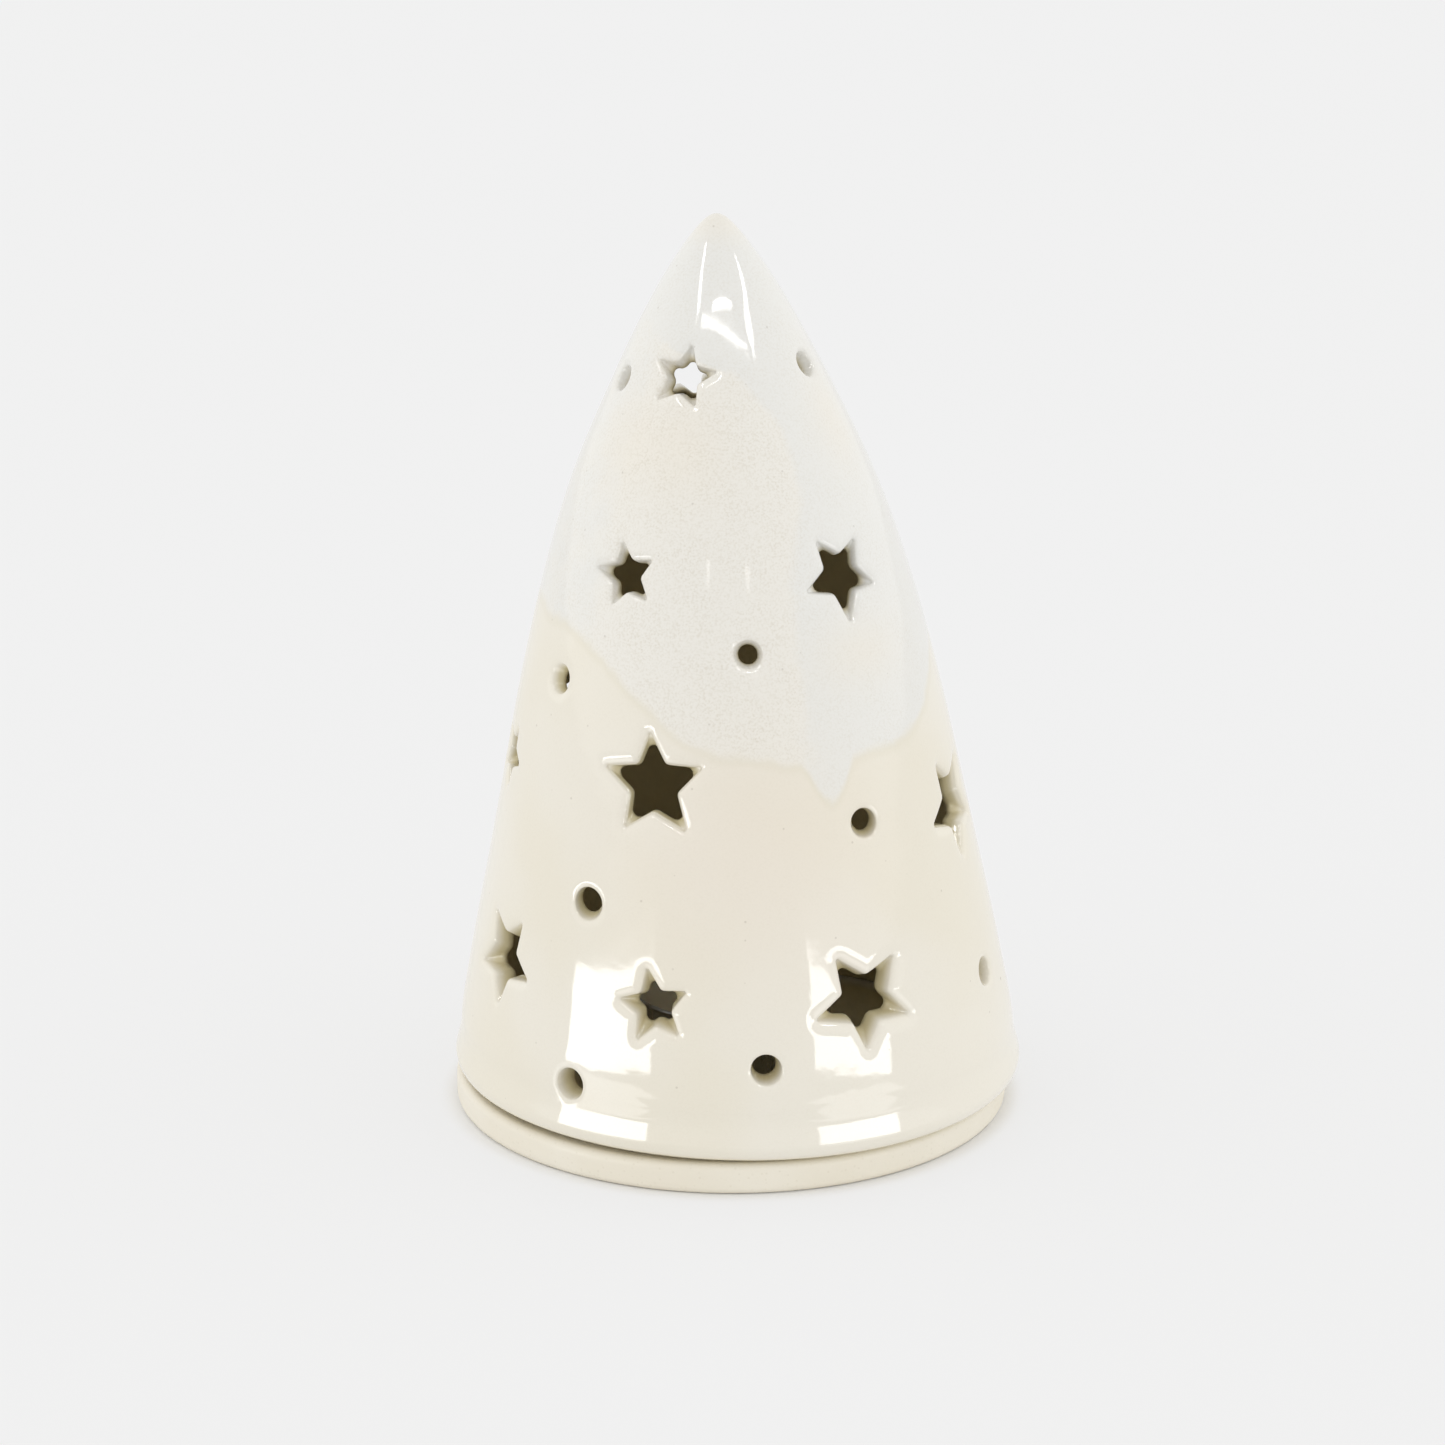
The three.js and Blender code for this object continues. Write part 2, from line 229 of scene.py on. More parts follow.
def filleted(corners, radii, limits, arc_steps, edge_steps):
    """A closed outline with each corner rounded, with as many points in every call with the same steps."""
    count = len(corners)
    cut = []
    for i in range(count):
        before = corners[i - 1] - corners[i]
        after = corners[(i + 1) % count] - corners[i]
        u, v = before / np.linalg.norm(before), after / np.linalg.norm(after)
        half = math.acos(np.clip(u @ v, -1, 1)) / 2
        reach = min(radii[i] / math.tan(half), limits[i] * min(np.linalg.norm(before), np.linalg.norm(after)))
        radius = reach * math.tan(half)
        middle = corners[i] + (u + v) / np.linalg.norm(u + v) * radius / math.sin(half)
        cut.append((corners[i] + u * reach, corners[i] + v * reach, middle, radius))
    points = []
    for i, (start, end, middle, radius) in enumerate(cut):
        a0 = math.atan2(*(start - middle)[::-1])
        sweep = (math.atan2(*(end - middle)[::-1]) - a0 + math.pi) % (2 * math.pi) - math.pi
        for k in range(arc_steps + 1):
            a = a0 + sweep * k / arc_steps
            points.append(middle + radius * np.array([math.cos(a), math.sin(a)]))
        following = cut[(i + 1) % count][0]
        points += [end + (following - end) * k / edge_steps for k in range(1, edge_steps)]
    return np.array(points)


def star_outline(tips, turn, inset, tip_round, notch_round):
    """A star with its edges moved inwards by inset, and its tips and notches rounded."""
    corners = []
    for i in range(10):
        radius = tips[i // 2] if i % 2 == 0 else NOTCH_SHARE * (tips[i // 2] + tips[(i // 2 + 1) % 5]) / 2
        a = math.radians(turn) - i * math.pi / 5
        corners.append(radius * np.array([math.cos(a), math.sin(a)]))
    corners = np.array(corners[::-1])
    along = np.roll(corners, -1, axis=0) - corners
    along /= np.linalg.norm(along, axis=1)[:, None]
    inwards = np.column_stack([-along[:, 1], along[:, 0]])
    moved = []
    for i in range(10):
        # the corner is where the two edges beside it meet once both have moved inwards
        n = np.array([inwards[i - 1], inwards[i]])
        moved.append(np.linalg.solve(n, n @ corners[i] + inset))
    is_tip = [(9 - i) % 2 == 0 for i in range(10)]
    radii = [tip_round if t else notch_round for t in is_tip]
    limits = [0.7 if t else 0.26 for t in is_tip]  # the rounding's largest share of an edge
    return filleted(np.array(moved), radii, limits, arc_steps=6, edge_steps=5)


def ring_outline(radius, steps=40):
    a = np.linspace(0, 2 * math.pi, steps, endpoint=False)
    return radius * np.column_stack([np.cos(a), np.sin(a)])


# the glazed edge of an opening: how far out from the cut, and how deep, both in mm
LIP = [(3.0, 0), (2.2, 0.025), (1.6, 0.08), (1.1, 0.17), (0.7, 0.3), (0.38, 0.5), (0.15, 0.78), (0.03, 1.1)]
WALL_DEPTHS = [0.32, 0.44, 0.56, 0.68, 0.8]  # shares of the wall's thickness
INNER_LIP = [(0.9, -0.15), (0.96, -0.4), (1.0, -0.9)]  # share of the thickness, change of inset


def opening_levels(outline, narrowing, wall, lip_share):
    """Outlines of an opening from the outer surface to the inner one, each with its share of the depth."""
    levels = [(outline(-out * lip_share, 0), deep * lip_share / wall) for out, deep in LIP]
    for depth in WALL_DEPTHS:
        ease = step(depth, 0.15, WALL_DEPTHS[-1])
        levels.append((outline(narrowing * ease, ease), depth))
    for depth, change in INNER_LIP:
        levels.append((outline(narrowing + change, 1), depth))
    return levels


class Opening:
    """One opening: its loops of points, from the outer wall to the inner wall, in cylinder coordinates."""

    def __init__(self, degrees, height, outline, narrowing, lip_share, off_square):
        self.round0 = math.radians(degrees)
        up0 = float(np.interp(height, OUTER_CURVE[:, 1], OUTER_LENGTH))
        radius = float(np.interp(up0, OUTER_LENGTH, OUTER_CURVE[:, 0]))
        ahead = np.interp(up0 + 1, OUTER_LENGTH, OUTER_CURVE[:, 0])
        lean = math.asin(np.clip(radius - ahead, -0.95, 0.95))
        wall = (radius - inner_radius(height)) * math.cos(lean)
        sin_round, cos_round = math.sin(self.round0), math.cos(self.round0)
        sin_lean, cos_lean = math.sin(lean), math.cos(lean)
        inwards = -np.array([sin_round * cos_lean, -cos_round * cos_lean, sin_lean])
        upwards = np.array([-sin_round * sin_lean, cos_round * sin_lean, cos_lean])
        across = np.array([cos_round, sin_round, 0])
        through = wall * inwards + off_square[0] * across + off_square[1] * upwards
        self.loops = []
        for points, depth in opening_levels(outline, narrowing, wall, lip_share):
            up = up0 + points[:, 1]
            round_ = self.round0 + points[:, 0] / np.interp(up, OUTER_LENGTH, OUTER_CURVE[:, 0])
            r, z = outer_cylinder(round_, up)
            flat = np.column_stack([r * np.sin(round_), -r * np.cos(round_), z])
            moved = flat + through
            angle = self.near(np.arctan2(moved[:, 0], -moved[:, 1]))
            within = inner_radius(moved[:, 2])
            landed = np.column_stack([within * np.sin(angle), -within * np.cos(angle), moved[:, 2]])
            at = (1 - depth) * flat + depth * landed
            angle, height = self.near(np.arctan2(at[:, 0], -at[:, 1])), at[:, 2]
            spots = placed(np.hypot(at[:, 0], at[:, 1]), angle, height)
            self.loops.append({"points": spots, "round": angle, "height": height, "up": up, "depth": depth})
        self.outer_edge = np.column_stack([self.loops[0]["round"], self.loops[0]["up"]])
        last = self.loops[-1]
        self.inner_edge = np.column_stack([last["round"], inner_up(last["height"])])

    def near(self, angle):
        """The same angle, within half a turn of the opening's own."""
        return self.round0 + np.angle(np.exp(1j * (angle - self.round0)))


def all_openings():
    made = []
    for degrees, height, tips, turn, *rest in STARS:
        size = sum(tips) / 5
        deep_tip = 0.45 + 0.085 * size
        narrowing = np.interp(height, [34, 73, 109, 143], [0.75, 0.35, 0.35, 0.55])

        def outline(inset, ease, tips=tips, turn=turn, deep_tip=deep_tip):
            tip = 0.28 + (deep_tip - 0.28) * ease + max(0, -inset)
            return star_outline(tips, turn, inset, tip, max(0.3, 1.1 + inset * 0.4) + 0.4 * ease)

        lip_share = min(1, 0.4 + size / 16)
        made.append(Opening(degrees, height, outline, narrowing, lip_share, rest[0] if rest else SQUARE))
    for degrees, height, radius, *rest in HOLES:
        outline = lambda inset, ease, radius=radius: ring_outline(radius - inset)
        lip_share = 0.8 if height > 80 else 0.5  # the second glaze makes a fuller lip
        made.append(Opening(degrees, height, outline, HOLE_NARROWING, lip_share, rest[0] if rest else SQUARE))
    return made


# ---------------------------------------------------------------- cover: mesh


def inside(points, starts, ends):
    """Which points lie inside the region that these edges close off."""
    # a level line from an inside point crosses an odd number of them
    x, y = points[:, 0][:, None], points[:, 1][:, None]
    (x0, y0), (x1, y1) = starts.T, ends.T
    with np.errstate(divide="ignore", invalid="ignore"):
        crosses = ((y0 > y) != (y1 > y)) & (x < (x1 - x0) * (y - y0) / (y1 - y0) + x0)
    return crosses.sum(axis=1) % 2 == 1


class Mesh:
    """Vertices with normals and fields, and faces, gathered piece by piece."""

    def __init__(self):
        self.points, self.normals, self.fields, self.faces = [], [], [], []
        self.count = 0

    def add(self, points, fields, normals=None):
        start = self.count
        self.points.append(points)
        self.normals.append(np.zeros_like(points) if normals is None else normals)
        self.fields.append(fields)
        self.count += len(points)
        return np.arange(start, self.count)


def wall_grid(mesh, ups, openings_edges, points_of, scale, flip):
    """A wall as a grid of quads, triangulated round each opening. Returns the grid's vertex numbers."""
    turn = 2 * math.pi / COLUMNS
    angles = np.arange(COLUMNS) * turn
    rows = [points_of(angles, up) for up in ups]
    used = np.ones((COLUMNS, len(ups) - 1), bool)

    def add(face):
        mesh.faces.append([int(k) for k in (face[::-1] if flip else face)])

    for edge, loop in openings_edges:
        size = scale(float(edge[:, 1].mean()))
        polygon = np.column_stack([edge[:, 0] * size, edge[:, 1]])

        def distance(at):
            return np.sqrt(((at[:, None] - polygon[None]) ** 2).sum(-1)).min(axis=1)

        def in_opening(at):
            return inside(at, polygon, np.roll(polygon, -1, axis=0))

        low_i, high_i = math.floor(edge[:, 0].min() / turn) - 6, math.ceil(edge[:, 0].max() / turn) + 6
        low_j = max(0, np.searchsorted(ups, edge[:, 1].min()) - 3)
        high_j = min(len(ups) - 1, np.searchsorted(ups, edge[:, 1].max()) + 3)
        cells = [(i, j) for i in range(low_i, high_i) for j in range(low_j, high_j)]
        middles = np.array([((i + 0.5) * turn * size, (ups[j] + ups[j + 1]) / 2) for i, j in cells])
        steps = np.array([math.hypot(turn * size, ups[j + 1] - ups[j]) / 2 for i, j in cells])
        near = (distance(middles) < steps + PATCH_MARGIN) | in_opening(middles)
        patch = {cell for cell, is_near in zip(cells, near) if is_near}
        for i, j in patch:
            if not used[i % COLUMNS, j]:
                raise RuntimeError("two openings are too close together")
            used[i % COLUMNS, j] = False

        border = []
        for i, j in sorted(patch):
            sides = (((i, j - 1), (i, j), (i + 1, j)), ((i, j + 1), (i, j + 1), (i + 1, j + 1)),
                     ((i - 1, j), (i, j), (i, j + 1)), ((i + 1, j), (i + 1, j), (i + 1, j + 1)))
            border += [(a, b) for beyond, a, b in sides if beyond not in patch]
        on_border = {corner for pair in border for corner in pair}
        corners = sorted({(i + a, j + b) for i, j in patch for a in (0, 1) for b in (0, 1)})
        # a hair's breadth of unevenness keeps three grid points from lying in one line
        at = np.array([(i * turn * size, ups[j] + 2e-3 * math.sin(13 * i + 7 * j)) for i, j in corners])
        clear = (distance(at) > PATCH_MARGIN) & ~in_opening(at)
        kept = [k for k, corner in enumerate(corners) if clear[k] or corner in on_border]
        number = {corners[k]: m for m, k in enumerate(kept)}
        coords = [Vector(p) for p in (*at[kept], *polygon)]
        ids = [rows[corners[k][1]][corners[k][0] % COLUMNS] for k in kept] + list(loop)
        n, m = len(kept), len(polygon)
        edges = [(number[a], number[b]) for a, b in border] + [(n + k, n + (k + 1) % m) for k in range(m)]
        out, _, triangles, back, _, _ = delaunay_2d_cdt(coords, edges, [], 0, 1e-6, True)
        middles = np.array([np.mean([out[k] for k in triangle], axis=0) for triangle in triangles])
        spots = np.array(coords)
        starts, ends = (spots[[edge[k] for edge in edges]] for k in (0, 1))
        for triangle, wanted in zip(triangles, inside(middles, starts, ends)):
            if wanted:
                add([ids[back[k][0]] for k in triangle])
    for j in range(len(ups) - 1):
        for i in range(COLUMNS):
            if used[i, j]:
                k = (i + 1) % COLUMNS
                add([rows[j][i], rows[j][k], rows[j + 1][k], rows[j + 1][i]])
    return rows


def row_places(length, spacing, tip_zone):
    """Distances up a wall of its rows, without the point at the very top."""
    body = np.linspace(0, length - tip_zone, round((length - tip_zone) / spacing) + 1)
    tip = np.linspace(length - tip_zone, length, round(tip_zone / TIP_STEP) + 1)[1:-1]
    return np.concatenate([body, tip])


def cover_mesh():
    mesh = Mesh()
    openings = all_openings()
    loops = []
    for opening in openings:
        ids = []
        for k, loop in enumerate(opening.loops):
            depths = np.full(len(loop["round"]), loop["depth"])
            fields = np.column_stack([loop["round"], loop["height"], depths])
            normals = outer_normal(loop["round"], loop["up"]) if k == 0 else None
            ids.append(mesh.add(loop["points"], fields, normals))
        loops.append(ids)
        for a, b in zip(ids, ids[1:]):
            for m in range(len(a)):
                n = (m + 1) % len(a)
                mesh.faces.append([int(a[m]), int(a[n]), int(b[n]), int(b[m])])

    def outer_row(angles, up):
        up = np.full(COLUMNS, up)
        height = np.interp(up, OUTER_LENGTH, OUTER_CURVE[:, 1])
        fields = np.column_stack([angles, height, np.zeros(COLUMNS)])
        return mesh.add(outer_point(angles, up), fields, outer_normal(angles, up))

    def inner_row(angles, up):
        height = np.full(COLUMNS, np.interp(up, INNER_LENGTH, INNER_CURVE[:, 1]))
        radius = np.full(COLUMNS, np.interp(up, INNER_LENGTH, INNER_CURVE[:, 0]))
        return mesh.add(placed(radius, angles, height), np.column_stack([angles, height, np.ones(COLUMNS)]))

    outer_ups = row_places(OUTER_LENGTH[-1], ROW_STEP, TIP_ZONE)
    inner_ups = row_places(INNER_LENGTH[-1], INNER_ROW_STEP, TIP_ZONE / 2)
    outer_edges = [(o.outer_edge, ids[0]) for o, ids in zip(openings, loops)]
    inner_edges = [(o.inner_edge, ids[-1]) for o, ids in zip(openings, loops)]
    outer_radius = lambda up: float(np.interp(up, OUTER_LENGTH, OUTER_CURVE[:, 0]))
    inner_radius_at = lambda up: float(np.interp(up, INNER_LENGTH, INNER_CURVE[:, 0]))
    outer_rows = wall_grid(mesh, outer_ups, outer_edges, outer_row, outer_radius, False)
    inner_rows = wall_grid(mesh, inner_ups, inner_edges, inner_row, inner_radius_at, True)

    angles = np.arange(COLUMNS) * 2 * math.pi / COLUMNS
    rows = [outer_rows[0]]
    for k, (radius, height) in enumerate(FOOT):
        share = k / (len(FOOT) - 1)
        radii = radius + hand_made(angles, np.full(COLUMNS, height), np.full(COLUMNS, radius)) * (1 - share)
        fields = np.column_stack([angles, np.full(COLUMNS, height), np.full(COLUMNS, share)])
        rows.append(mesh.add(placed(radii, angles, np.full(COLUMNS, height)), fields))
    rows.append(inner_rows[0])
    for above, below in zip(rows, rows[1:]):
        for i in range(COLUMNS):
            k = (i + 1) % COLUMNS
            mesh.faces.append([int(below[i]), int(below[k]), int(above[k]), int(above[i])])

    tops = (OUTER_CURVE, outer_rows[-1], 0, False), (INNER_CURVE, inner_rows[-1], 1, True)
    for curve, row, depth, flip in tops:
        height = float(curve[-1, 1])
        spot = placed(np.zeros(1), np.zeros(1), np.full(1, height))
        top = mesh.add(spot, np.array([[0, height, depth]]))[0]
        for i in range(COLUMNS):
            face = [int(row[i]), int(row[(i + 1) % COLUMNS]), int(top)]
            mesh.faces.append(face[::-1] if flip else face)
    return mesh


def link(name, data):
    made = bpy.data.objects.new(name, data)
    bpy.context.scene.collection.objects.link(made)
    return made


def build_cover():
    mesh = cover_mesh()
    data = bpy.data.meshes.new("cover_shell")
    data.from_pydata((np.vstack(mesh.points) * MM).tolist(), [], mesh.faces)
    data.polygons.foreach_set("use_smooth", np.ones(len(data.polygons), bool))
    data.normals_split_custom_set_from_vertices(np.vstack(mesh.normals).tolist())
    round_, height, depth = np.vstack(mesh.fields).T
    fields = {
        "above_dip": height - dip_edge(round_),
        "depth": depth,
        "thick": thick_glaze(round_, height),
        "warm": warm_glaze(round_, height),
    }
    for name, values in fields.items():
        data.attributes.new(name, "FLOAT", "POINT").data.foreach_set("value", values.astype(np.float32))
    return link("cover_shell", data)


def thick_glaze(round_, height):
    """1 where the second glaze is thick and cooler: the right of the front, down into the drip."""
    degrees = degrees_from(round_, 0)
    heights = [60, 78, 93, 109, 121, 134, 143, 150, 158]
    left = np.interp(height, heights, [26, 21, 21, 22, 30, 30, 12, -60, -180])
    side = step(degrees, left - 5, left + 5) * (1 - step(degrees, 96, 125))
    far_left = step(-degrees, 34, 48) * (1 - step(-degrees, 120, 150))
    crown = step(height, 148, 157)
    low = step(dip_edge(round_) + 11 - height, 0, 9) * (1 - step(np.abs(degrees_from(round_, 28)), 5, 12))
    return np.clip(np.maximum.reduce([side * 0.95, far_left * 0.6, crown * 0.25, low]), 0, 1)


def warm_glaze(round_, height):
    """1 where the glaze is thin over a warm body: round the openings near the top and at the very tip."""
    spots = [(-18, 131, 20, 9), (64, 134, 16, 9), (-48, 131, 14, 8), (42, 95, 16, 6), (5, 62, 30, 22)]
    total = sum(
        np.exp(-((degrees_from(round_, a) / w) ** 2) - ((height - z) / h) ** 2) for a, z, w, h in spots
    )
    return np.clip(total + step(height, 163, 168), 0, 1)


# ---------------------------------------------------------------- turned pieces


def turned(name, profile, sides, change=None):
    """A closed form turned about the Z axis, from [radius, height] in mm. change moves its points."""
    turn = np.arange(sides) * 2 * math.pi / sides
    rings, points, faces = [], [], []
    for radius, height in profile:
        if radius < 1e-6:
            rings.append([len(points)] * sides)
            points.append((0.0, 0.0, height))
        else:
            rings.append(list(range(len(points), len(points) + sides)))
            points += [(radius * math.cos(a), radius * math.sin(a), height) for a in turn]
    for low, high in zip(rings, rings[1:]):
        for i in range(sides):
            k = (i + 1) % sides
            face = [low[i], low[k], high[k], high[i]]
            faces.append([v for n, v in enumerate(face) if v not in face[:n]])
    points = np.array(points)
    if change:
        points = change(points)
    data = bpy.data.meshes.new(name)
    data.from_pydata((points * MM).tolist(), [], faces)
    data.polygons.foreach_set("use_smooth", np.ones(len(faces), bool))
    return link(name, data)


def arc(middle, radius, start, end, steps):
    """Points of an arc, with its angles in degrees from +r towards +z."""
    angles = np.radians(np.linspace(start, end, steps + 1))
    return [(middle[0] + radius * math.cos(a), middle[1] + radius * math.sin(a)) for a in angles]


def even(start, end, steps):
    """Points between two points, without the second one."""
    return [(start[0] + (end[0] - start[0]) * k / steps, start[1] + (end[1] - start[1]) * k / steps)
            for k in range(steps)]


SAUCER_RADIUS = (SAUCER_HIGH[0] - SAUCER_LOW[0]) / 2
SAUCER_THICK = SAUCER_HIGH[2]


def saucer_surface(points):
    """The hand-cut disc isn't quite flat or round."""
    x, y, z = points.T
    a, r = np.arctan2(y, x), np.hypot(x, y)
    size = 1 - 0.0016 * (1 + np.sin(2 * a + 0.6)) - 0.0006 * (1 + np.sin(5 * a))
    top = np.where(z > SAUCER_THICK / 2, 1, 0)
    dip = 0.07 * np.sin(2 * a + 2) + 0.04 * np.sin(3 * a) - 0.1 + 0.03 * np.sin(r * 0.9 + 0.8 * np.sin(a))
    return np.column_stack([x * size, y * size, z + top * dip * r / SAUCER_RADIUS])


def build_saucer():
    r, t = SAUCER_RADIUS, SAUCER_THICK
    low, high = 1.3, 1.5
    profile = even((0, 0.25), (r - 4.5, 0.2), 6) + even((r - 4.5, 0.2), (r - low - 1, 0), 3)
    profile += arc((r - low, low), low, -90, 0, 6) + even((r, low + 0.3), (r, t - high), 4)
    profile += arc((r - high, t - high), high, 0, 90, 8) + even((r - high - 0.4, t), (0, t), 46) + [(0, t)]
    return turned("saucer_disc", profile, 160, saucer_surface)


CUP_RADIUS = (CUP_HIGH[0] - CUP_LOW[0]) / 2
CUP_BOTTOM, CUP_HEIGHT = CUP_LOW[2], CUP_HIGH[2] - CUP_LOW[2]
FLUTES = 60
WAX_TOP = CUP_HEIGHT - 2.0


def fluted(points):
    """Fine upright flutes round the lower part of the cup's side."""
    x, y, z = points.T
    a, r, up = np.arctan2(y, x), np.hypot(x, y), z - CUP_BOTTOM
    amount = 0.1 * np.where(r > 18.2, 1, 0) * step(up, 1.2, 2.6) * (1 - step(up, 9.5, 11))
    size = 1 + amount * (np.cos(FLUTES * a) - 1) / np.maximum(r, 1)
    return np.column_stack([x * size, y * size, z])


def build_cup():
    roll, thick = 0.42, 0.22
    rim = CUP_RADIUS - roll
    base = 18.3  # radius at the bottom of the side
    # the underside with its recess, the outside, the rolled rim, and the inside down to the floor
    profile = [(0, 0.55)] + even((2, 0.55), (12.6, 0.55), 4) + even((12.6, 0.55), (13.2, 0.3), 2)
    profile += even((13.2, 0.3), (16.4, 0.3), 3) + even((16.4, 0.3), (17.0, 0.0), 2)
    profile += even((17.0, 0.0), (base - 0.9, 0), 2) + arc((base - 0.9, 0.9), 0.9, -90, -8, 6)
    profile += even((base + 0.02, 1.3), (rim - 0.12, 13.6), 16)
    profile += even((rim - 0.12, 13.6), (rim - 0.05, 14.2), 2)
    profile += arc((rim, CUP_HEIGHT - roll), roll, -80, 190, 14)
    profile += even((rim - roll + 0.02, 14.1), (base - thick, 1.4), 14)
    profile += arc((base - 0.9 - thick, 0.9 + thick), 0.9, 0, -90, 5)
    profile += even((base - 1.4, 0.55), (12.0, 0.55), 3) + even((12.0, 0.78), (0.5, 0.78), 4) + [(0, 0.78)]
    profile = [(r, z + CUP_BOTTOM) for r, z in profile]
    return turned("cup_shell", profile, FLUTES * 6, fluted)


def wax_surface(points):
    x, y, z = points.T
    a, r = np.arctan2(y, x), np.hypot(x, y)
    top = step(z, CUP_BOTTOM + WAX_TOP - 2, CUP_BOTTOM + WAX_TOP - 1.2)
    ripple = 0.06 * np.sin(r * 0.55 + 0.5 * np.sin(2 * a)) + 0.05 * np.sin(3 * a + 1) * r / 18
    return np.column_stack([x, y, z + top * ripple])


def build_wax():
    low, high = (np.array(corner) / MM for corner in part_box("candle_wax"))
    bottom, side, top = low[2] - CUP_BOTTOM, (high[0] - low[0]) / 2, WAX_TOP
    profile = [(0, bottom)] + even((2.2, bottom), (side - 1.4, bottom), 5)
    profile += even((side - 1.4, bottom), (side - 0.7, bottom + 1), 3)
    profile += even((side - 0.7, bottom + 1), (side, top - 0.2), 10)
    # the wax climbs the cup and the wick a little, with a shallow dish between
    dish = [(side, top + 0.35), (side - 0.25, top + 0.28), (side - 0.7, top + 0.05), (side - 1.4, top - 0.12)]
    dish += [(r, top - 0.15 - 0.4 * (1 - (r / (side - 1.4)) ** 2)) for r in np.linspace(side - 1.8, 3.4, 22)]
    dish += [(2.6, top - 0.5), (2.0, top - 0.42), (1.5, top - 0.2)]
    dish += [(1.15, top + 0.15), (0.95, top + 0.5), (0, top + 0.55)]
    profile = [(r, z + CUP_BOTTOM) for r, z in profile + dish]
    return turned("wax_fill", profile, 96, wax_surface)


def build_sustainer():
    low, high = (np.array(corner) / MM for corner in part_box("wick_sustainer"))
    r, bottom, height = (high[0] - low[0]) / 2, low[2], high[2] - low[2]
    profile = [(0, 0.06), (1.1, 0.06), (1.6, 0), (r - 1.4, 0)]
    profile += [(r - 0.9, 0.12), (r - 0.3, 0.1), (r - 0.08, 0.02)]
    profile += arc((r - 0.14, 0.16), 0.14, -60, 100, 5)
    profile += [(r - 0.4, 0.3), (r - 0.9, 0.36), (r - 1.5, 0.26), (3.2, 0.26), (2.4, 0.34)]
    # the tube that grips the wick
    profile += [(1.95, 0.62), (1.75, 1.1), (1.62, 1.8), (1.5, height - 0.5), (1.42, height - 0.12)]
    profile += [(1.3, height), (1.16, height - 0.1), (1.1, height - 0.4), (1.1, 0.5), (0, 0.45)]
    return turned("sustainer_disc", [(a, z + bottom) for a, z in profile], 72)


def build_wick():
    """Three cotton strands plaited into a wick that leans over at its top."""
    low, high = (np.array(corner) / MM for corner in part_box("wick"))
    bottom, length = low[2], high[2] - low[2] - 0.15
    sweep, strand, sides, steps = 0.36, 0.4, 8, 150
    lean_to = np.array([1.8, -0.6]) * 0.93
    points, faces = [], []
    for number in range(3):
        spine = []
        for k in range(steps + 1):
            t = k / steps
            bend = max(0.0, (t - 0.62) / 0.38) ** 2
            phase = 2 * math.pi * (t * 11 + number / 3)
            woven = np.array([sweep * math.sin(phase), sweep * 0.62 * math.sin(2 * phase)])
            spread = 1 + 0.25 * step(t, 0.97, 1.0)
            spine.append(np.array([*(woven * spread + lean_to * bend), bottom + 0.08 + length * t]))
        spine = np.array(spine)
        along = np.gradient(spine, axis=0)
        along /= np.linalg.norm(along, axis=1)[:, None]
        side = np.cross(along, (0.0, 1.0, 0.0))
        side /= np.linalg.norm(side, axis=1)[:, None]
        other = np.cross(along, side)
        start = len(points)
        for k in range(steps + 1):
            t = k / steps
            size = strand * (1 - 0.35 * step(t, 0.985, 1.0)) * (1 + 0.05 * math.sin(2 * math.pi * t * 33))
            for n in range(sides):
                a = 2 * math.pi * n / sides
                points.append(spine[k] + size * (math.cos(a) * side[k] + math.sin(a) * other[k]))
        for k in range(steps):
            for n in range(sides):
                m = (n + 1) % sides
                row = start + k * sides
                faces.append([row + n, row + m, row + sides + m, row + sides + n])
        faces.append([start + n for n in reversed(range(sides))])
        faces.append([start + steps * sides + n for n in range(sides)])
    data = bpy.data.meshes.new("wick_braid")
    data.from_pydata((np.array(points) * MM).tolist(), [], faces)
    data.polygons.foreach_set("use_smooth", np.ones(len(faces), bool))
    return link("wick_braid", data)


# ---------------------------------------------------------------- materials


